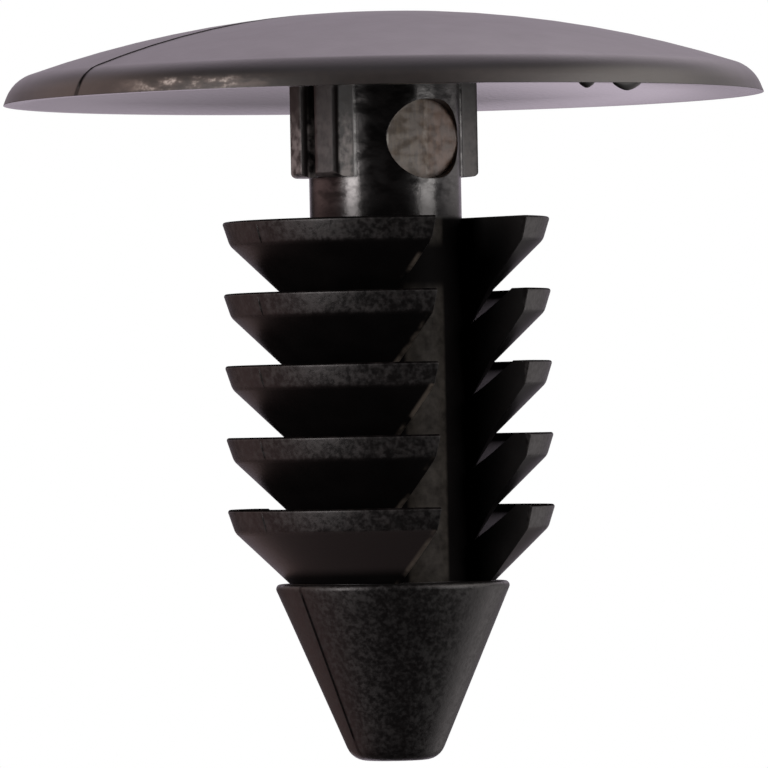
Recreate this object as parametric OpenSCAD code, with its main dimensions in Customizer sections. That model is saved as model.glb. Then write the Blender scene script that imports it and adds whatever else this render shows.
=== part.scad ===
// Push-in fir tree clip, moulded in one piece: a domed head with a hollow underside, a round neck with
// two pairs of centring ribs, five cupped barbs that two slots split into left and right groups, and a
// solid tapered tip. The origin is the centre of the head's seat and the stem points down.

/* [Head] */
// Diameter of the head at its seat
head_d = 25; // [18:0.5:40]
// Height of the crown above the seat
head_h = 2.87; // [2.6:0.01:5]
// Thickness of the head at its centre
head_t = 1.2; // [0.8:0.05:1.6]
// Height of the sloping edge
edge_h = 0.78; // [0.5:0.02:0.9]
// How far the edge leans in over its height
edge_lean = 0.31; // [0.05:0.01:0.6]
// Rounding between the edge and the crown
edge_round = 1.25; // [0.1:0.05:1.5]
// Width of the flat land at the seat
seat_w = 0.5; // [0.2:0.05:1.2]

/* [Neck] */
// Diameter of the neck and of the core behind the slots
core_d = 5; // [4:0.1:6]
// Rounding where the neck runs into the head
root_round = 0.5; // [0.1:0.05:0.8]
// Diameter across the ribs
rib_d = 6.5; // [5.6:0.1:8]
// Length of the ribs below the seat
rib_len = 2.58; // [1.5:0.02:3.5]
// Thickness of one rib
rib_t = 1.08; // [0.5:0.02:1.3]
// Gap between the two ribs of a pair
rib_gap = 0.4; // [0.2:0.02:0.8]
// Rounding of the ribs' long edges
rib_edge = 0.26; // [0.05:0.01:0.3]
// Rounding of the ribs' lower corners
rib_round = 0.3; // [0.1:0.05:0.5]

/* [Ejector mark] */
// Width of the oval mark on the front of the neck
mark_w = 2.96; // [1.8:0.02:3]
// Height of the mark
mark_h = 2.6; // [1.5:0.05:2.8]
// Depth of the mark's centre below the seat
mark_z = 1.38; // [0.8:0.01:2.5]
// Depth of the mark's flat floor below the crest of the neck
mark_depth = 0.53; // [0.2:0.01:0.8]

/* [Barbs] */
// Number of barbs on each side
barb_count = 5; // [2:1:8]
// Distance from the seat to the top of the first barb
grip = 3.96; // [3.8:0.01:8]
// Distance between barbs
barb_pitch = 2.36; // [2:0.02:3]
// Diameter over the barbs
barb_d = 10.8; // [9.8:0.02:12]
// Height of the rim of a barb
rim_h = 0.76; // [0.5:0.02:1]
// Draft of the rim in degrees
rim_draft = 18; // [5:1:30]
// Angle of a barb's underside from the axis in degrees
barb_angle = 46; // [40:1:50]
// Rounding between the rim and the underside
rim_round = 0.5; // [0.1:0.1:1.6]
// Rounding of the upper edge of the rim
lip_round = 0.08; // [0.02:0.01:0.15]
// Width of the flat lip on top of a cupped barb
lip_w = 0.8; // [0.4:0.05:1.2]
// Depth of the groove below the top of a cupped barb
groove_depth = 1.12; // [0.5:0.02:1.4]
// Diameter at the bottom of the groove
groove_d = 5.5; // [5.1:0.02:6]

/* [Slots] */
// Width of the slots between the two groups of barbs
slot_w = 3.76; // [2.5:0.02:4.4]

/* [Tip] */
// Distance from the top of the last barb to the top of the tip
tip_gap = 2.48; // [2.2:0.02:3]
// Diameter of the tip at its top
tip_d = 7.84; // [7:0.02:9]
// Length of the tip
tip_len = 5.84; // [4:0.01:9]
// Diameter of the tip at its end, before rounding
tip_end_d = 2.84; // [1.6:0.02:4]
// Rounding of the end of the tip
tip_round = 0.7; // [0.1:0.05:1]
// Rounding of the upper edge of the tip
shoulder_round = 0.15; // [0.05:0.01:0.3]

/* [Hidden] */
$fn = 180;
arc_steps = 6;

// Head
head_r = head_d / 2;
dish_h = head_h - head_t;
dish_reach = head_r - seat_w;
dish_r = (dish_reach * dish_reach + dish_h * dish_h) / (2 * dish_h);

// The crown is part of a sphere through the top of the head and the upper corner of the edge
edge_corner = [head_r - edge_lean, edge_h];
crown_rise = head_h - edge_h;
crown_r = (edge_corner.x * edge_corner.x + crown_rise * crown_rise) / (2 * crown_rise);
crown_centre = [0, head_h - crown_r];

// Neck
core_r = core_d / 2;
ceiling = dish_h - dish_r + sqrt(dish_r * dish_r - core_r * core_r);
embed = ceiling + head_t / 2;
rib_r = rib_d / 2;

// Barbs and tip
barb_r = barb_d / 2;
rim_r = barb_r - rim_h * tan(rim_draft);
first_top = -grip;
last_top = first_top - (barb_count - 1) * barb_pitch;
tip_top = last_top - tip_gap;
tip_end = tip_top - tip_len;
overlap = 0.5;

function unit(v) = v / norm(v);

// Points of the arc of radius r that rounds the corner b between its neighbours a and c
function corner_arc(a, b, c, r) =
    let (
        to_a = unit(a - b),
        to_c = unit(c - b),
        half = acos(to_a * to_c) / 2,
        centre = b + unit(to_a + to_c) * r / sin(half),
        start = b + to_a * r / tan(half) - centre,
        first = atan2(start.y, start.x),
        turn = sign(cross(to_a, to_c)) * (2 * half - 180)
    )
    [for (i = [0 : arc_steps])
        let (angle = first + turn * i / arc_steps)
        centre + r * [cos(angle), sin(angle)]];

function flat(p) = [p.x, p.y];

// Outline through points [radius, height, rounding], with an arc at each corner that has a rounding
function rounded(path) =
    let (n = len(path))
    [for (i = [0 : n - 1])
        each path[i].z > 0
            ? corner_arc(flat(path[(i + n - 1) % n]), flat(path[i]), flat(path[(i + 1) % n]), path[i].z)
            : [flat(path[i])]];

// Radius of a barb's underside at a depth below the barb's top
function underside(depth) = rim_r - (depth - rim_h) * tan(barb_angle);

// Points of one barb from its groove to the foot of its underside, which ends at the given depth
function barb_path(index, foot) =
    let (top = first_top - index * barb_pitch)
    [
        if (index == 0) [0, top, 0],
        if (index > 0) [groove_d / 2, top - groove_depth, 0],
        if (index > 0) [barb_r - lip_w, top, 0],
        [barb_r, top, lip_round],
        [rim_r, top - rim_h, rim_round],
        [underside(foot), top - foot, 0]
    ];

// Everything inside the sloping edge, with the edge's upper corner rounded into the crown
module edge_section() {
    normal = unit(edge_corner - crown_centre);
    along = edge_corner + head_r * [-normal.y, normal.x];
    polygon(rounded([
        [0, 0, 0],
        [0, along.y, 0],
        [along.x, along.y, 0],
        [edge_corner.x, edge_corner.y, edge_round],
        [head_r, 0, 0]
    ]));
}

module head() {
    rotate_extrude()
        difference() {
            intersection() {
                translate(crown_centre)
                    circle(r = crown_r);
                edge_section();
            }
            translate([0, dish_h - dish_r])
                circle(r = dish_r);
        }
}

module core() {
    flare_r = core_r + 2 * root_round;
    rotate_extrude()
        polygon(rounded([
            [0, tip_top - overlap, 0],
            [core_r, tip_top - overlap, 0],
            [core_r, ceiling, root_round],
            [flare_r, ceiling, 0],
            [flare_r, embed, 0],
            [0, embed, 0]
        ]));
}

// Section across one rib of the right pair, on the given side of the gap, with its long edges rounded
module rib_section(side) {
    inner = rib_gap / 2;
    outer = inner + rib_t;
    polygon(rounded([
        [0, side * inner, 0],
        [sqrt(rib_r * rib_r - inner * inner), side * inner, rib_edge],
        [sqrt(rib_r * rib_r - outer * outer), side * outer, rib_edge],
        [0, side * outer, 0]
    ]));
}

module ribs() {
    intersection() {
        rotate_extrude()
            polygon(rounded([
                [0, embed, 0],
                [rib_r, embed, 0],
                [rib_r, -rib_len, rib_round],
                [0, -rib_len, 0]
            ]));
        for (turn = [0, 180], side = [-1, 1])
            rotate([0, 0, turn])
                translate([0, 0, -rib_len - overlap])
                    linear_extrude(embed + rib_len + 2 * overlap)
                        rib_section(side);
    }
}

module barbs() {
    section = concat(
        [for (i = [0 : barb_count - 2]) each barb_path(i, barb_pitch)],
        barb_path(barb_count - 1, tip_gap + overlap),
        [[0, tip_top - overlap, 0]]
    );
    difference() {
        rotate_extrude()
            polygon(rounded(section));
        translate([-slot_w / 2, -barb_d, tip_top])
            cube([slot_w, 2 * barb_d, first_top - tip_top + overlap]);
    }
}

module tip() {
    rotate_extrude()
        polygon(rounded([
            [0, tip_top, 0],
            [tip_d / 2, tip_top, shoulder_round],
            [tip_end_d / 2, tip_end, tip_round],
            [0, tip_end, 0]
        ]));
}

module ejector_mark() {
    straight = mark_w - mark_h;
    translate([0, mark_depth - core_r, -mark_z])
        rotate([90, 0, 0])
            linear_extrude(core_r) {
                square([straight, mark_h], center = true);
                for (side = [-1, 1])
                    translate([side * straight / 2, 0])
                        circle(d = mark_h);
            }
}

module fir_tree_clip() {
    color([0.07, 0.07, 0.08])
        difference() {
            union() {
                head();
                core();
                ribs();
                barbs();
                tip();
            }
            ejector_mark();
        }
}

fir_tree_clip();
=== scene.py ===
import math
from types import SimpleNamespace

import bmesh
import bpy
from mathutils import Matrix, Vector
from mathutils.bvhtree import BVHTree


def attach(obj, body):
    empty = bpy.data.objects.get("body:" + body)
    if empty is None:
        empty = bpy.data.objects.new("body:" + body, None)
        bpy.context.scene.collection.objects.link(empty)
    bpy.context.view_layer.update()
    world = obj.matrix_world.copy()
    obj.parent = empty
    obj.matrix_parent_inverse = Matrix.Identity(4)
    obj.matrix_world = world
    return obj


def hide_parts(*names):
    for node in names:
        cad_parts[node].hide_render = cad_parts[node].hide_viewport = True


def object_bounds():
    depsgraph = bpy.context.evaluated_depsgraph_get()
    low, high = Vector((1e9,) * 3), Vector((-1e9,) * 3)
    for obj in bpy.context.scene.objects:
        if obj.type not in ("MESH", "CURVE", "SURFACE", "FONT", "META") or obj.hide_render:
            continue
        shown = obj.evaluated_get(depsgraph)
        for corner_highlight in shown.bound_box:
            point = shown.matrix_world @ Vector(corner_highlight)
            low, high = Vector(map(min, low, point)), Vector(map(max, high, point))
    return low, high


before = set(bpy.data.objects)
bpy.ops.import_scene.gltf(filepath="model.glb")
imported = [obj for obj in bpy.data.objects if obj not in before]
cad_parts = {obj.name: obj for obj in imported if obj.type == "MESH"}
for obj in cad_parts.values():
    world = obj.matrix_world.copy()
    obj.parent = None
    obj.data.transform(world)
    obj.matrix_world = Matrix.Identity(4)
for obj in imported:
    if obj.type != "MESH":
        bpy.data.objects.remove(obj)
cad_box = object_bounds()

MM = 0.001
NODE = "fir_tree_clip"
SLOT = "black_nylon"

# Places on the clip that the details follow, in millimetres in the frame of the solid
HEAD_R = cad_box[1].x / MM
TIP_END = cad_box[0].z / MM
NECK_R = 2.5
NECK_END = -3.96
RIB_R = 3.25
RIB_END = -2.58
RIM_R = 5.15
LAST_RIM_END = -14.16
SLOT_HALF = 1.88
TIP_TOP = -15.88
MARK_Z = -1.38
MARK_W = 2.96
MARK_H = 2.6
MARK_FLOOR_Y = -1.97

# The body's faces are welded within this distance in millimetres, and edges above this angle stay sharp
WELD = 1e-4
SHARP_ANGLE = 28

# Parting line of the mould, in the plane y = 0: a fine raised line, in millimetres
LINE_HALF = 0.06
LINE_H = 0.035
LINE_SINK = 0.012
LINE_FADE = 0.3
DOME_FADE = 6.0
LINE_START_R = 0.4
LINE_END_Z = 0.14
LINE_BREAK = 0.3
LINE_TIP_GAP = 0.6
LINE_MARGIN = 0.1
LINE_MIN_POINTS = 4

# Steps at which the parting line is traced on the crown, on the head's edge and down the stem. The edge
# and the stem are traced from a small drop below what is above them.
CROWN_END_R = HEAD_R - 0.35
CROWN_STEP = 0.3
EDGE_STEP = 0.06
STEM_STEP = 0.05
TRACE_DROP = 0.05

# Flash left on the lower edge of the head: azimuth in degrees, width and drop in millimetres
NUBS = (("nub_1", -6.4, 0.6, 0.17), ("nub_2", 1.0, 1.2, 0.24))
NUB_DEPTH = 0.22
NUB_NARROWING = 0.4
NUB_SEGMENTS = 24
NUB_RINGS = 16

# Camera: the picture is 768 pixels wide at 30.42 pixels to a millimetre
PICTURE_W = 768 / 30.42
CAMERA_AZIMUTH = -38.0
CAMERA_ELEVATION = -0.33
CAMERA_ROLL = -1.1
LENS = 400
SENSOR_W = 36
AIM_Z = -9.363
AIM_LEFT = 0.165

# Floor, in metres: it lies below the level view of the camera
FLOOR_Z = -0.13
FLOOR_SIZE = 3.0
FLOOR_COLOUR = (0.82, 0.82, 0.82, 1)
FLOOR_GLOW = 0.5
WHITE = (1, 1, 1, 1)

# Lamps, at a distance in metres from the clip: name, azimuth from the camera, elevation, width and height
# in metres, radiance and colour
LAMP_DISTANCE = 0.5
SOFTBOXES = (
    ("left_softbox", -51, 8, 0.18, 0.5, 12.0, (1, 0.93, 0.92)),
    ("right_softbox", 66, 8, 0.25, 0.5, 5.4, (1, 0.95, 0.93)),
)

# Soft panels around the clip, drawn in the world: azimuth from the camera, elevation, angle of full
# strength, angle at which it has faded, and colour
PANELS = (
    (180, -27, 6, 20, (0.60, 0.52, 0.60)),
    (-172, -22, 2, 11, (1.30, 1.13, 1.33)),
    (180, 62, 16, 38, (1.10, 0.95, 1.09)),
    (-150, 36, 12, 30, (0.54, 0.46, 0.52)),
    (150, 38, 12, 30, (1.02, 0.91, 0.98)),
    (176, 13, 12, 38, (0.57, 0.49, 0.58)),
    (122, 6, 14, 34, (0.44, 0.41, 0.40)),
    (122, -24, 12, 30, (1.10, 1.02, 1.02)),
    (100, 5, 8, 22, (0.42, 0.39, 0.40)),
    (98, 34, 10, 24, (3.00, 2.76, 2.62)),
    (54, 41, 8, 24, (1.60, 1.40, 1.36)),
    (-54, 41, 8, 24, (0.35, 0.31, 0.28)),
    (-75, 38, 8, 24, (0.46, 0.38, 0.36)),
    (-112, 28, 12, 28, (0.90, 0.66, 0.58)),
    (-100, -10, 20, 50, (0.50, 0.31, 0.30)),
    (-152, -26, 5, 15, (0.45, 0.30, 0.28)),
    (0, 42, 10, 24, (0.02, 0.018, 0.018)),
    (0, 78, 12, 32, (0.46, 0.42, 0.45)),
)
AMBIENT = (0.04, 0.036, 0.036, 1)

# Colours of the nylon: near black, brown and ground on the mark, pale where the head's edge is scuffed.
# The mark's pale brown is partly its own colour and partly painted reflection, with a painted highlight at
# its left end. The paler slot floor, last cone and ribs stand in for light that falls on the same black, the
# pale band along the slot's left edge is a painted highlight, and the ribs are darkened near the head by
# painted shade.
BLACK_DARK = (0.0008, 0.0007, 0.0008, 1)
BLACK_LIGHT = (0.0032, 0.0028, 0.0028, 1)
# The mark's browns: partly its own colour, partly painted reflection of the light on this face.
GROUND_AND_SHEEN_LEFT = (0.115, 0.085, 0.055, 1)
GROUND_AND_SHEEN_RIGHT = (0.160, 0.095, 0.066, 1)
GROUND_DARK = (0.030, 0.022, 0.016, 1)
GROUND_DARK_SHARE = 0.55
GROUND_LINE = (0.22, 0.18, 0.14, 1)
# Painted highlight: the light spot at the left end of the mark.
MARK_CORNER_HIGHLIGHT = (0.42, 0.40, 0.36, 1)
LIT_FLOOR_COLOUR = (0.020, 0.016, 0.011, 1)
RIM_BLOTCH = (0.008, 0.007, 0.007, 1)
LAST_CONE_COLOUR = (0.016, 0.013, 0.013, 1)
RIB_OUTSIDE_FRONT = (0.044, 0.039, 0.038, 1)
RIB_OUTSIDE_BACK = (0.165, 0.150, 0.148, 1)
RIB_FACE_LEFT = (0.280, 0.258, 0.250, 1)
RIB_FACE_RIGHT = (0.090, 0.083, 0.080, 1)
# Painted shade: the ribs darken near the head.
RIB_HEAD_SHADE = (0.020, 0.018, 0.017, 1)
RIB_EDGE = (0.004, 0.003, 0.003, 1)
# Painted highlight: a pale mottled band on the barbs' undersides along the slot's left edge.
SLOT_EDGE_HIGHLIGHT = (0.070, 0.060, 0.050, 1)
HEAD_EDGE_COLOUR = (0.012, 0.009, 0.0075, 1)
SCUFF_BROWN = (0.066, 0.052, 0.045, 1)
SCUFF_BRIGHT = (0.30, 0.27, 0.245, 1)
SEAM_COLOUR = (0.0010, 0.0007, 0.0007, 1)

# Noises: waves to the millimetre, detail and stretch along the axes
GRAIN = (7.0, 3.0)
BLOTCH = (3.4, 4.0)
MOTTLE = (0.9, 4.0)
RIPPLE = (2.0, 3.0, (0.8, 0.8, 1.5))
STREAK = (3.0, 3.0, (2.2, 0.2, 0.35))
SCRAPE = (1.6, 5.0, (1.0, 1.0, 2.6))

# Share of the second noise where two are mixed
SPECKLE_BLOTCH = 0.4
GROUND_BLOTCH = 0.6
SCUFF_SCRAPE = 0.5

# How far the light middle line of the mark waves, in millimetres
LINE_WAVE = 0.3

# Contrast of the noises: the value that counts as none and the value that counts in full
SPECKLE_RANGE = (0.38, 0.66)
SLOT_EDGE_RANGE = (0.42, 0.62)
SCUFF_RANGE = (0.3, 0.7)
BRIGHT_SCUFF_RANGE = (0.47, 0.68)
GROUND_RANGE = (0.38, 0.62)
MIDDLE_LINE_RANGE = (0.3, 0.7)
RIM_BLOTCH_RANGE = (0.4, 0.8)
RIB_BLOTCH_RANGE = (0.3, 0.7)
SHINY_RANGE = (0.35, 0.6)

# Borders of the zones: where a zone begins and where it counts in full. Radii and heights are in
# millimetres, and slopes are the part of the surface's normal along an axis.
CORE_RADII = (NECK_R + 0.14, NECK_R + 0.07)
HEAD_HEIGHTS = (-0.1, 0.0)
BELOW_HEAD_HEIGHTS = (0.6, 0.2)
NECK_FOOT_HEIGHTS = (NECK_END - 0.6, NECK_END - 0.1)
SHINY_HEIGHTS = (NECK_END, RIB_END - 0.2)
BARBS_TOP_HEIGHTS = (NECK_END + 0.1, NECK_END - 0.1)
BARBS_FOOT_HEIGHTS = (TIP_TOP - 0.05, TIP_TOP + 0.05)
TIP_HEIGHTS = (TIP_TOP + 0.02, TIP_TOP - 0.05)
RIM_RADII = (RIM_R - 0.08, RIM_R + 0.02)
CONE_SLOPES = (-0.4, -0.55)
CUP_SLOPES = (0.2, 0.4)
UPPER_CUP_RADII = (3.5, 4.2)
RIB_INNER_RADII = (NECK_R + 0.1, NECK_R + 0.2)
RIB_OUTER_RADII = (RIB_R + 0.3, RIB_R + 0.1)
RIB_FOOT_HEIGHTS = (RIB_END - 0.1, RIB_END - 0.05)
RIB_SHADE_HEIGHTS = (-1.3, -0.1)
RIB_EDGE_SLOPES = (0.22, 0.42)
RIB_FACE_SLOPES = (-0.6, -0.9)
CEILING_SLOPES = (-0.5, -0.7)
OUTSIDE_SLOPES = (0.0, 0.1)
HEAD_EDGE_RADII = (HEAD_R - 0.6, HEAD_R - 0.4)
HEAD_EDGE_HEIGHTS = (0.55, 0.35)
MARK_RADII = (MARK_H / 2 + 0.01, MARK_H / 2 - 0.02)
SEAM_RADII = (2.0, DOME_FADE)
SEAM_SHARES = (1.5, 0.8)
SEAM_WIDENING = 1.6

# Change from the left or front half to the right or back one, in millimetres from the middle
HALVES = (-0.1, 0.1)
MARK_HALVES = (-0.5, 0.9)

# Stretches: their middle, half their width and the soft border outside, in millimetres or degrees
SHADED_FLOOR_Z = (-5.5, 0.5, 0.5)
LIT_FLOOR_AZIMUTHS = (-8, 15, 4)
SLOT_EDGE_X = (-SLOT_HALF, 0.08, 0.12)
LAST_CONE_Z = (LAST_RIM_END - 0.6, 0.5, 0.4)
MARK_FLOOR = (MARK_FLOOR_Y, 0.02, 0.01)
MIDDLE_LINE_X = (0.33, 0.02, 0.12)
MARK_CORNER_X = (-MARK_W / 2, 0.06, 0.1)
MARK_CORNER_Z = (MARK_Z, 0.1, 0.15)
SCUFF_Z = (0.2, 0.08, 0.2)
SCUFF_AZIMUTHS = (-68, 9, 6)
BRIGHT_SCUFF_AZIMUTHS = (-68, 4.5, 6)

# Roughness and gloss, the shader's specular level: one value, or the two ends of a noise
BODY_ROUGHNESS = (0.34, 0.42)
NECK_ROUGHNESS = (0.16, 0.32)
CEILING_ROUGHNESS = 0.24
RIB_ROUGHNESS = (0.38, 0.62)
GRAINY_ROUGHNESS = (0.36, 0.58)
SLOT_FLOOR_ROUGHNESS = 0.6
CUP_ROUGHNESS = 0.55
MARK_ROUGHNESS = 0.5
BODY_GLOSS = 0.5
NECK_GLOSS = (0.26, 0.72)
RIB_EDGE_GLOSS = 0.12
SLOT_FLOOR_GLOSS = 0.02
LIT_FLOOR_GLOSS = (0.0, 0.24)
RIM_GLOSS = (0.24, 0.40)
TIP_GLOSS = (0.26, 0.44)
CONE_GLOSS = 0.15
CUP_GLOSS = (0.075, 0.0)
SEAM_GLOSS = 0.15

# Fine relief: share of each noise, depth and edge softening in millimetres
GRAIN_RELIEF = (0.35, 1.0)
NECK_RELIEF = 1.4
RIB_RELIEF = 1.2
MARK_RELIEF = 1.5
RELIEF_DEPTH = 0.014
RELIEF_STRENGTH = 0.6
EDGE_SOFTENING = 0.035
EDGE_SAMPLES = 4


def direction(azimuth, elevation):
    """Unit vector from the clip towards an azimuth and elevation in degrees; 0 is -Y and 90 is +X."""
    a = math.radians(azimuth)
    e = math.radians(elevation)
    return Vector((math.sin(a) * math.cos(e), -math.cos(a) * math.cos(e), math.sin(e)))


def add_node(tree, kind, inputs=None, **settings):
    """Adds a shader node, sets its properties, and links or sets the inputs."""
    made = tree.nodes.new(kind)
    for name, value in settings.items():
        setattr(made, name, value)
    for key, value in (inputs or {}).items():
        if isinstance(value, bpy.types.NodeSocket):
            tree.links.new(value, made.inputs[key])
        else:
            made.inputs[key].default_value = value
    return made


def math_node(tree, operation, *values, clamp=False):
    inputs = dict(enumerate(values))
    return add_node(tree, "ShaderNodeMath", inputs, operation=operation, use_clamp=clamp).outputs[0]


def vector_node(tree, operation, *vectors):
    """Result of a vector operation, which is a number for a length or a dot product."""
    made = add_node(tree, "ShaderNodeVectorMath", dict(enumerate(vectors)), operation=operation)
    is_number = operation in ("LENGTH", "DOT_PRODUCT")
    return made.outputs["Value" if is_number else "Vector"]


def product(tree, first, *others):
    for other in others:
        first = math_node(tree, "MULTIPLY", first, other)
    return first


def either(tree, first, second):
    return math_node(tree, "ADD", first, second, clamp=True)


def outside_of(tree, zone):
    return math_node(tree, "SUBTRACT", 1.0, zone)


def step_node(tree, value, none, full):
    """0 on the none side and 1 on the full side of two values, with a smooth step between them."""
    if none > full:
        return outside_of(tree, step_node(tree, value, full, none))
    inputs = {"Value": value, "From Min": none, "From Max": full}
    made = add_node(tree, "ShaderNodeMapRange", inputs, interpolation_type="SMOOTHSTEP")
    return made.outputs["Result"]


def near_node(tree, value, middle, half, soft):
    """1 within half of the middle, fading to 0 over the soft distance outside."""
    away = math_node(tree, "ABSOLUTE", math_node(tree, "SUBTRACT", value, middle))
    return step_node(tree, away, half + soft, half)


def mix_colour(tree, factor, a, b, blend="MIX"):
    made = add_node(tree, "ShaderNodeMix", {"Factor": factor}, data_type="RGBA", blend_type=blend)
    for name, value in (("A", a), ("B", b)):
        socket = next(s for s in made.inputs if s.name == name and s.type == "RGBA")
        if isinstance(value, bpy.types.NodeSocket):
            tree.links.new(value, socket)
        else:
            socket.default_value = value
    return next(s for s in made.outputs if s.type == "RGBA")


def mix_value(tree, factor, a, b):
    made = add_node(tree, "ShaderNodeMix", {0: factor, 2: a, 3: b}, data_type="FLOAT")
    return made.outputs[0]


def noise_node(tree, place, scale, detail, stretch=(1, 1, 1)):
    """Noise of a number of waves to the millimetre, stretched along the axes."""
    inputs = {"Vector": vector_node(tree, "MULTIPLY", place, stretch), "Scale": scale, "Detail": detail}
    return add_node(tree, "ShaderNodeTexNoise", inputs).outputs[0]


def facing_node(tree, vector, axis, half, faded):
    """1 where a unit vector is within half an angle of an axis, fading to 0 at another angle, in degrees."""
    cosine = vector_node(tree, "DOT_PRODUCT", vector, axis)
    return step_node(tree, cosine, math.cos(math.radians(faded)), math.cos(math.radians(half)))


def around_axis(tree, flat, azimuth, half, soft):
    """1 where a place lies within half an angle of an azimuth about the stem, with a soft border outside."""
    outward = vector_node(tree, "NORMALIZE", flat)
    return facing_node(tree, outward, direction(azimuth, 0), half, half + soft)


def make_camera():
    data = bpy.data.cameras.new("camera")
    data.sensor_width = SENSOR_W
    data.lens = LENS
    camera = bpy.data.objects.new("camera", data)
    bpy.context.scene.collection.objects.link(camera)
    back = direction(CAMERA_AZIMUTH, CAMERA_ELEVATION)
    level = (-back).to_track_quat("-Z", "Y").to_matrix()
    turn = level @ Matrix.Rotation(math.radians(CAMERA_ROLL), 3, "Z")
    aim = Vector((0, 0, AIM_Z)) - turn.col[0] * AIM_LEFT
    distance = LENS * PICTURE_W / SENSOR_W
    place = (aim + back * distance) * MM
    camera.matrix_world = Matrix.Translation(place) @ turn.to_4x4()
    bpy.context.scene.camera = camera


def make_softbox(name, azimuth, elevation, width, height, radiance, colour):
    """A rectangular lamp that faces the clip."""
    data = bpy.data.lights.new(name, "AREA")
    data.shape = "RECTANGLE"
    data.size = width
    data.size_y = height
    data.color = colour
    data.energy = radiance * math.pi * width * height
    lamp = bpy.data.objects.new(name, data)
    bpy.context.scene.collection.objects.link(lamp)
    towards = direction(CAMERA_AZIMUTH + azimuth, elevation)
    turn = (-towards).to_track_quat("-Z", "Y").to_matrix().to_4x4()
    lamp.matrix_world = Matrix.Translation(towards * LAMP_DISTANCE) @ turn
    lamp.visible_camera = False


def make_world():
    """White as the camera sees it, and dark with soft panels as the clip sees it."""
    world = bpy.data.worlds.new("studio")
    bpy.context.scene.world = world
    world.use_nodes = True
    tree = world.node_tree
    tree.nodes.clear()
    towards = add_node(tree, "ShaderNodeTexCoord").outputs["Generated"]
    light = AMBIENT
    for azimuth, elevation, full, faded, colour in PANELS:
        axis = direction(CAMERA_AZIMUTH + azimuth, elevation)
        strength = facing_node(tree, towards, axis, full, faded)
        light = mix_colour(tree, strength, light, (*colour, 1), "ADD")
    camera_ray = add_node(tree, "ShaderNodeLightPath").outputs["Is Camera Ray"]
    shown = mix_colour(tree, camera_ray, light, WHITE)
    background = add_node(tree, "ShaderNodeBackground", {"Color": shown})
    output = add_node(tree, "ShaderNodeOutputWorld")
    tree.links.new(background.outputs[0], output.inputs["Surface"])


def make_paper():
    """Pale paper, seen from above and clear from below."""
    material = bpy.data.materials.new("pale_floor")
    material.use_nodes = True
    tree = material.node_tree
    tree.nodes.clear()
    paper = add_node(tree, "ShaderNodeBsdfDiffuse", {"Color": FLOOR_COLOUR}).outputs[0]
    glow = add_node(tree, "ShaderNodeEmission", {"Color": WHITE, "Strength": FLOOR_GLOW}).outputs[0]
    lit = add_node(tree, "ShaderNodeAddShader", {0: paper, 1: glow}).outputs[0]
    clear = add_node(tree, "ShaderNodeBsdfTransparent").outputs[0]
    below = add_node(tree, "ShaderNodeNewGeometry").outputs["Backfacing"]
    shown = add_node(tree, "ShaderNodeMixShader", {0: below, 1: lit, 2: clear}).outputs[0]
    output = add_node(tree, "ShaderNodeOutputMaterial")
    tree.links.new(shown, output.inputs["Surface"])
    return material


def make_floor():
    mesh = bpy.data.meshes.new("floor")
    half = FLOOR_SIZE / 2
    corners = [(-half, -half, 0), (half, -half, 0), (half, half, 0), (-half, half, 0)]
    mesh.from_pydata(corners, [], [(0, 1, 2, 3)])
    mesh.materials.append(make_paper())
    floor = bpy.data.objects.new("floor", mesh)
    floor.location.z = FLOOR_Z
    bpy.context.scene.collection.objects.link(floor)
    floor.visible_glossy = False
    floor.visible_diffuse = False
    floor.visible_shadow = False


def surface_places(tree):
    """Where a point of the surface lies, in millimetres, and which way it faces."""
    coords = add_node(tree, "ShaderNodeTexCoord").outputs["Object"]
    scaled = {0: coords, "Scale": 1 / MM}
    place = add_node(tree, "ShaderNodeVectorMath", scaled, operation="SCALE").outputs[0]
    x, y, z = add_node(tree, "ShaderNodeSeparateXYZ", {0: place}).outputs
    flat = add_node(tree, "ShaderNodeCombineXYZ", {0: x, 1: y}).outputs[0]
    radius = vector_node(tree, "LENGTH", flat)
    normal = add_node(tree, "ShaderNodeNewGeometry").outputs["Normal"]
    right, back, up = add_node(tree, "ShaderNodeSeparateXYZ", {0: normal}).outputs
    return SimpleNamespace(
        place=place, x=x, y=y, z=z, flat=flat, radius=radius, right=right, back=back, up=up
    )


def surface_noises(tree, place):
    kinds = {
        "grain": GRAIN,
        "blotch": BLOTCH,
        "mottle": MOTTLE,
        "ripple": RIPPLE,
        "streak": STREAK,
        "scrape": SCRAPE,
    }
    noise = SimpleNamespace(**{name: noise_node(tree, place, *kind) for name, kind in kinds.items()})
    mixed = mix_value(tree, SPECKLE_BLOTCH, noise.grain, noise.blotch)
    noise.speckle = step_node(tree, mixed, *SPECKLE_RANGE)
    return noise


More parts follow.
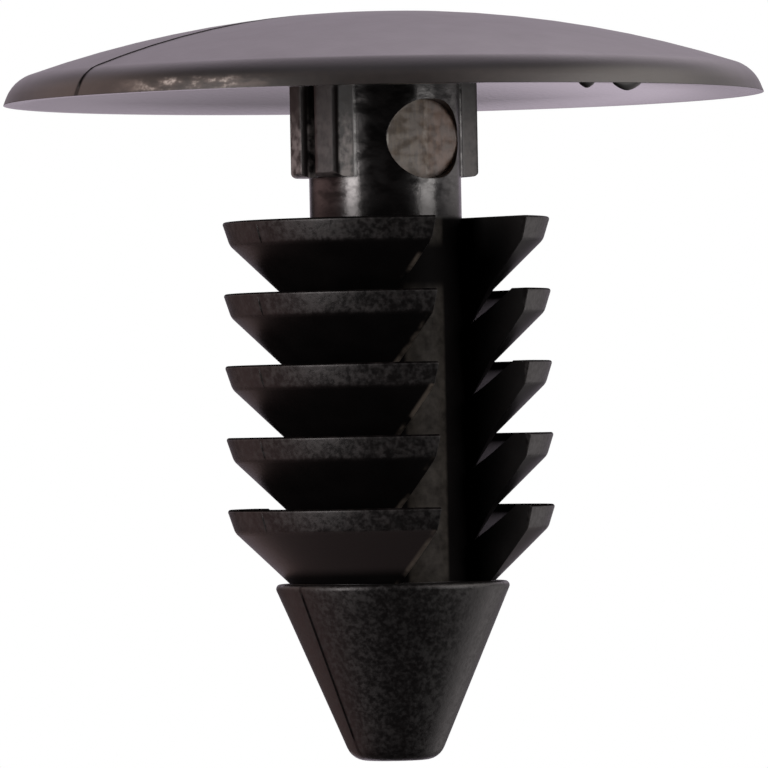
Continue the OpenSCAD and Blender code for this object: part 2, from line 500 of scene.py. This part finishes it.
def stem_zones(tree, at, noise, zone):
    """Adds the zones of the neck, the ribs, the barbs, the slots and the tip."""
    in_core = step_node(tree, at.radius, *CORE_RADII)
    below_head = step_node(tree, at.z, *BELOW_HEAD_HEIGHTS)
    zone.neck = product(tree, in_core, below_head, step_node(tree, at.z, *NECK_FOOT_HEIGHTS))
    zone.tip = step_node(tree, at.z, *TIP_HEIGHTS)

    below_neck = step_node(tree, at.z, *BARBS_TOP_HEIGHTS)
    in_barbs = product(tree, below_neck, step_node(tree, at.z, *BARBS_FOOT_HEIGHTS))
    zone.rim = product(tree, in_barbs, step_node(tree, at.radius, *RIM_RADII))
    zone.grainy = either(tree, zone.rim, zone.tip)
    zone.cone = product(tree, in_barbs, step_node(tree, at.up, *CONE_SLOPES))
    zone.last_cone = product(tree, zone.cone, near_node(tree, at.z, *LAST_CONE_Z))
    zone.cup = product(tree, in_barbs, step_node(tree, at.up, *CUP_SLOPES))
    zone.upper_cup = step_node(tree, at.radius, *UPPER_CUP_RADII)

    zone.slot_floor = product(tree, in_core, in_barbs)
    shaded = near_node(tree, at.z, *SHADED_FLOOR_Z)
    lit = around_axis(tree, at.flat, *LIT_FLOOR_AZIMUTHS)
    zone.lit_floor = product(tree, zone.slot_floor, lit, outside_of(tree, shaded))
    # The undersides along the slot's left edge get a mottled painted highlight.
    at_edge = near_node(tree, at.x, *SLOT_EDGE_X)
    zone.slot_edge = product(tree, zone.cone, at_edge, step_node(tree, noise.mottle, *SLOT_EDGE_RANGE))

    zone.ribs = product(
        tree,
        step_node(tree, at.radius, *RIB_INNER_RADII),
        step_node(tree, at.radius, *RIB_OUTER_RADII),
        step_node(tree, at.z, *RIB_FOOT_HEIGHTS),
        below_head,
    )
    slanting = math_node(tree, "ABSOLUTE", product(tree, at.right, at.back))
    zone.rib_edges = product(tree, zone.ribs, step_node(tree, slanting, *RIB_EDGE_SLOPES))
    zone.rib_faces = step_node(tree, at.back, *RIB_FACE_SLOPES)


def mark_zone(tree, at):
    """The flat floor of the ejector mark, a short slot with round ends."""
    from_middle = math_node(tree, "ABSOLUTE", at.x)
    past_straight = math_node(tree, "SUBTRACT", from_middle, (MARK_W - MARK_H) / 2)
    across = math_node(tree, "MAXIMUM", past_straight, 0.0)
    up = math_node(tree, "SUBTRACT", at.z, MARK_Z)
    from_mark = add_node(tree, "ShaderNodeCombineXYZ", {0: across, 1: up}).outputs[0]
    inside = step_node(tree, vector_node(tree, "LENGTH", from_mark), *MARK_RADII)
    return product(tree, near_node(tree, at.y, *MARK_FLOOR), inside)


def head_zones(tree, at, noise, zone):
    """Adds the zones of the head and the seam along the parting line, which also runs down the tip."""
    in_head = step_node(tree, at.z, *HEAD_HEIGHTS)
    on_edge = product(tree, in_head, step_node(tree, at.radius, *HEAD_EDGE_RADII))
    facing_out = step_node(tree, at.up, *OUTSIDE_SLOPES)
    zone.ceiling = product(tree, in_head, step_node(tree, at.up, *CEILING_SLOPES))
    zone.head_edge = product(tree, on_edge, step_node(tree, at.z, *HEAD_EDGE_HEIGHTS), facing_out)

    half_seam = mix_value(tree, on_edge, LINE_HALF, SEAM_WIDENING * LINE_HALF)
    from_seam = math_node(tree, "DIVIDE", math_node(tree, "ABSOLUTE", at.y), half_seam)
    outside = either(tree, product(tree, in_head, facing_out), zone.tip)
    strong = either(tree, step_node(tree, at.radius, *SEAM_RADII), zone.tip)
    zone.seam = product(tree, outside, strong, step_node(tree, from_seam, *SEAM_SHARES))

    zone.scuffed = product(
        tree,
        around_axis(tree, at.flat, *SCUFF_AZIMUTHS),
        near_node(tree, at.z, *SCUFF_Z),
        on_edge,
        step_node(tree, noise.scrape, *SCUFF_RANGE),
    )
    mixed = mix_value(tree, SCUFF_SCRAPE, noise.grain, noise.scrape)
    zone.bright_scuff = product(
        tree,
        zone.scuffed,
        around_axis(tree, at.flat, *BRIGHT_SCUFF_AZIMUTHS),
        step_node(tree, mixed, *BRIGHT_SCUFF_RANGE),
    )


def ground_colour(tree, at, noise):
    """The ejector mark: ground in streaks, browner to the right, with a light middle line. Its pale browns
    are partly its own colour and partly painted reflection, and the light spot at its left end is a painted
    highlight.
    """
    right_half = step_node(tree, at.x, *MARK_HALVES)
    ground = mix_colour(tree, right_half, GROUND_AND_SHEEN_LEFT, GROUND_AND_SHEEN_RIGHT)
    dark = mix_colour(tree, GROUND_DARK_SHARE, ground, GROUND_DARK)
    streaky = mix_value(tree, GROUND_BLOTCH, noise.streak, noise.blotch)
    ground = mix_colour(tree, step_node(tree, streaky, *GROUND_RANGE), dark, ground)
    wavy = math_node(tree, "ADD", at.x, product(tree, noise.mottle, LINE_WAVE))
    broken = step_node(tree, noise.blotch, *MIDDLE_LINE_RANGE)
    middle = product(tree, near_node(tree, wavy, *MIDDLE_LINE_X), broken)
    ground = mix_colour(tree, middle, ground, GROUND_LINE)
    # Painted highlight at the left end of the mark.
    beside = near_node(tree, at.x, *MARK_CORNER_X)
    corner_highlight = product(tree, beside, near_node(tree, at.z, *MARK_CORNER_Z))
    return mix_colour(tree, corner_highlight, ground, MARK_CORNER_HIGHLIGHT)


def rib_colour(tree, at, zone):
    """Greys that stand in for the light on the ribs' outsides and front faces, with painted shade that
    darkens them near the head.
    """
    outsides = mix_colour(tree, step_node(tree, at.y, *HALVES), RIB_OUTSIDE_FRONT, RIB_OUTSIDE_BACK)
    faces = mix_colour(tree, step_node(tree, at.x, *HALVES), RIB_FACE_LEFT, RIB_FACE_RIGHT)
    greys = mix_colour(tree, zone.rib_faces, outsides, faces)
    return mix_colour(tree, step_node(tree, at.z, *RIB_SHADE_HEIGHTS), greys, RIB_HEAD_SHADE)


def nylon_colour(tree, at, noise, zone):
    blotchy_rim = product(tree, zone.rim, step_node(tree, noise.blotch, *RIM_BLOTCH_RANGE))
    blotchy_ribs = product(tree, zone.ribs, step_node(tree, noise.blotch, *RIB_BLOTCH_RANGE))
    layers = (
        (zone.mark, ground_colour(tree, at, noise)),
        (product(tree, zone.lit_floor, noise.blotch), LIT_FLOOR_COLOUR),
        (blotchy_rim, RIM_BLOTCH),
        (zone.last_cone, LAST_CONE_COLOUR),
        (blotchy_ribs, rib_colour(tree, at, zone)),
        (zone.rib_edges, RIB_EDGE),
        (zone.slot_edge, SLOT_EDGE_HIGHLIGHT),
        (product(tree, zone.head_edge, noise.blotch), HEAD_EDGE_COLOUR),
        (zone.scuffed, SCUFF_BROWN),
        (zone.bright_scuff, SCUFF_BRIGHT),
        (zone.seam, SEAM_COLOUR),
    )
    colour = mix_colour(tree, noise.mottle, BLACK_DARK, BLACK_LIGHT)
    for share, layer in layers:
        colour = mix_colour(tree, share, colour, layer)
    return colour


def nylon_roughness(tree, noise, zone):
    layers = (
        (zone.neck, mix_value(tree, noise.ripple, *NECK_ROUGHNESS)),
        (zone.ceiling, CEILING_ROUGHNESS),
        (zone.ribs, mix_value(tree, noise.blotch, *RIB_ROUGHNESS)),
        (zone.grainy, mix_value(tree, noise.speckle, *GRAINY_ROUGHNESS)),
        (zone.slot_floor, SLOT_FLOOR_ROUGHNESS),
        (zone.cup, CUP_ROUGHNESS),
        (zone.mark, MARK_ROUGHNESS),
    )
    roughness = mix_value(tree, noise.mottle, *BODY_ROUGHNESS)
    for share, layer in layers:
        roughness = mix_value(tree, share, roughness, layer)
    return roughness


def nylon_gloss(tree, at, noise, zone):
    patchy = step_node(tree, noise.ripple, *SHINY_RANGE)
    shiny = product(tree, patchy, step_node(tree, at.z, *SHINY_HEIGHTS))
    lit_gloss = mix_value(tree, noise.blotch, *LIT_FLOOR_GLOSS)
    layers = (
        (zone.neck, mix_value(tree, shiny, *NECK_GLOSS)),
        (zone.rib_edges, RIB_EDGE_GLOSS),
        (zone.slot_floor, mix_value(tree, zone.lit_floor, SLOT_FLOOR_GLOSS, lit_gloss)),
        (zone.rim, mix_value(tree, noise.speckle, *RIM_GLOSS)),
        (zone.tip, mix_value(tree, noise.speckle, *TIP_GLOSS)),
        (zone.cone, CONE_GLOSS),
        (zone.cup, mix_value(tree, zone.upper_cup, *CUP_GLOSS)),
        (zone.seam, SEAM_GLOSS),
    )
    gloss = BODY_GLOSS
    for share, layer in layers:
        gloss = mix_value(tree, share, gloss, layer)
    return gloss


def nylon_normal(tree, noise, zone):
    """Softened edges with a fine relief: grain all over, ripples on the neck and streaks in the mark."""
    layers = (
        (noise.ripple, mix_value(tree, zone.neck, 0.0, NECK_RELIEF)),
        (noise.blotch, mix_value(tree, zone.ribs, 0.0, RIB_RELIEF)),
        (noise.streak, mix_value(tree, zone.mark, 0.0, MARK_RELIEF)),
    )
    height = product(tree, noise.grain, mix_value(tree, zone.grainy, *GRAIN_RELIEF))
    for layer, share in layers:
        height = math_node(tree, "ADD", height, product(tree, layer, share))
    soft_edge = add_node(tree, "ShaderNodeBevel", {"Radius": EDGE_SOFTENING * MM}, samples=EDGE_SAMPLES)
    inputs = {
        "Strength": RELIEF_STRENGTH,
        "Distance": RELIEF_DEPTH * MM,
        "Height": height,
        "Normal": soft_edge.outputs[0],
    }
    return add_node(tree, "ShaderNodeBump", inputs).outputs[0]


def make_nylon():
    """Black moulded nylon: polished on the neck, grainy on the rims and tip, dull inside the slots."""
    material = bpy.data.materials.new(SLOT)
    material.use_nodes = True
    tree = material.node_tree
    tree.nodes.clear()
    at = surface_places(tree)
    noise = surface_noises(tree, at.place)
    zone = SimpleNamespace(mark=mark_zone(tree, at))
    stem_zones(tree, at, noise, zone)
    head_zones(tree, at, noise, zone)
    inputs = {
        "Base Color": nylon_colour(tree, at, noise, zone),
        "Roughness": nylon_roughness(tree, noise, zone),
        "Specular IOR Level": nylon_gloss(tree, at, noise, zone),
        "Normal": nylon_normal(tree, noise, zone),
    }
    surface = add_node(tree, "ShaderNodeBsdfPrincipled", inputs)
    output = add_node(tree, "ShaderNodeOutputMaterial")
    tree.links.new(surface.outputs[0], output.inputs["Surface"])
    return material


def add_piece(name, mesh, material):
    """Puts a mesh on the clip as a piece that belongs to the moulding."""
    mesh.materials.append(material)
    piece = bpy.data.objects.new(name, mesh)
    bpy.context.scene.collection.objects.link(piece)
    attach(piece, "root")
    return piece


def make_body(material):
    """The moulding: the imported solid's faces, welded, with its curved surfaces shaded smooth."""
    shape = bmesh.new()
    shape.from_mesh(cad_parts[NODE].data)
    bmesh.ops.remove_doubles(shape, verts=shape.verts, dist=WELD * MM)
    mesh = bpy.data.meshes.new("clip_body")
    for layer in list(shape.loops.layers.float_vector.values()):
        shape.loops.layers.float_vector.remove(layer)
    shape.to_mesh(mesh)
    shape.free()
    for name in ("custom_normal", "sharp_edge", "sharp_face"):
        layer = mesh.attributes.get(name)
        if layer:
            mesh.attributes.remove(layer)
    mesh.shade_smooth()
    mesh.set_sharp_from_angle(angle=math.radians(SHARP_ANGLE))
    body = add_piece("clip_body", mesh, material)
    weighted = body.modifiers.new("weighted_normals", "WEIGHTED_NORMAL")
    weighted.keep_sharp = True
    weighted.mode = "FACE_AREA_WITH_ANGLE"
    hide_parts(NODE)
    return body


def spread(start, end, step):
    """Evenly spaced values from start to end, about one step apart."""
    count = max(1, round(abs(end - start) / step))
    return [start + (end - start) * i / count for i in range(count + 1)]


def trace_parting_line(body):
    """Lines of [radius, height] points on the outside of the body in the plane y = 0, from the top down."""
    mesh = body.data
    tree = BVHTree.FromPolygons([v.co for v in mesh.vertices], [p.vertices for p in mesh.polygons])
    far = 2 * HEAD_R

    def from_above(r):
        hit = tree.ray_cast(Vector((r, 0, far)) * MM, Vector((0, 0, -1)))[0]
        return [r, hit.z / MM]

    def from_side(z):
        hit = tree.ray_cast(Vector((far, 0, z)) * MM, Vector((-1, 0, 0)))[0]
        return [hit.x / MM, z]

    head = [from_above(r) for r in spread(LINE_START_R, CROWN_END_R, CROWN_STEP)]
    head += [from_side(z) for z in spread(head[-1][1] - TRACE_DROP, LINE_END_Z, EDGE_STEP)]
    lines = [head, []]
    for z in spread(NECK_END - TRACE_DROP, TIP_END + LINE_TIP_GAP, STEM_STEP):
        point = from_side(z)
        on_rim = point[0] > RIM_R - LINE_MARGIN
        on_tip = z < TIP_TOP - LINE_MARGIN
        if on_rim or on_tip:
            if lines[-1] and lines[-1][-1][1] - z > LINE_BREAK:
                lines.append([])
            lines[-1].append(point)
    return [line for line in lines if len(line) >= LINE_MIN_POINTS]


def add_line(shape, points, side):
    """Adds one raised line along points of the right side, or of the left one where side is -1."""
    rise = DOME_FADE if points[0].y > 0 else LINE_FADE
    lengths = [0.0]
    for a, b in zip(points, points[1:]):
        lengths.append(lengths[-1] + (b - a).length)
    rings = []
    for i, point in enumerate(points):
        along = (points[min(i + 1, len(points) - 1)] - points[max(i - 1, 0)]).normalized()
        outward = Vector((-along.y, along.x))
        share = min(1.0, lengths[i] / rise, (lengths[-1] - lengths[i]) / LINE_FADE)
        crest = point + outward * (LINE_H * share - LINE_SINK * (1 - share))
        foot = point - outward * LINE_SINK * 2
        corners = ((foot, -LINE_HALF), (crest, 0), (foot, LINE_HALF))
        rings.append([shape.verts.new(Vector((side * p.x, across, p.y)) * MM) for p, across in corners])
    for a, b in zip(rings, rings[1:]):
        for i in range(3):
            j = (i + 1) % 3
            shape.faces.new((a[i], a[j], b[j], b[i]))
    shape.faces.new(rings[0])
    shape.faces.new(rings[-1])


def make_parting_line(body, material):
    """Fine raised line, three-sided in section and fading out at its ends, on both sides of the clip."""
    shape = bmesh.new()
    for line in trace_parting_line(body):
        points = [Vector(p) for p in line]
        for side in (-1, 1):
            add_line(shape, points, side)
    bmesh.ops.recalc_face_normals(shape, faces=shape.faces)
    mesh = bpy.data.meshes.new("parting_line")
    shape.to_mesh(mesh)
    shape.free()
    return add_piece("parting_line", mesh, material)


def make_nub(name, azimuth, width, drop, material):
    """Small lump of flash that hangs from the lower edge of the head and narrows downwards."""
    shape = bmesh.new()
    bmesh.ops.create_uvsphere(shape, u_segments=NUB_SEGMENTS, v_segments=NUB_RINGS, radius=1)
    for vert in shape.verts:
        narrowing = 1 + NUB_NARROWING * vert.co.z
        across = vert.co.x * narrowing * width / 2
        deep = vert.co.y * narrowing * NUB_DEPTH / 2
        vert.co = Vector((across, deep, vert.co.z * drop))
    mesh = bpy.data.meshes.new(name)
    shape.to_mesh(mesh)
    shape.free()
    centre = direction(azimuth, 0) * (HEAD_R - NUB_DEPTH) * MM
    turn = Matrix.Rotation(math.radians(azimuth), 4, "Z")
    mesh.transform(Matrix.Translation(centre) @ turn @ Matrix.Scale(MM, 4))
    mesh.shade_smooth()
    return add_piece(name, mesh, material)


bpy.context.scene.view_settings.view_transform = "Standard"
make_camera()
make_world()
for softbox in SOFTBOXES:
    make_softbox(*softbox)
make_floor()
nylon = make_nylon()
body = make_body(nylon)
make_parting_line(body, nylon)
for nub in NUBS:
    make_nub(*nub, nylon)
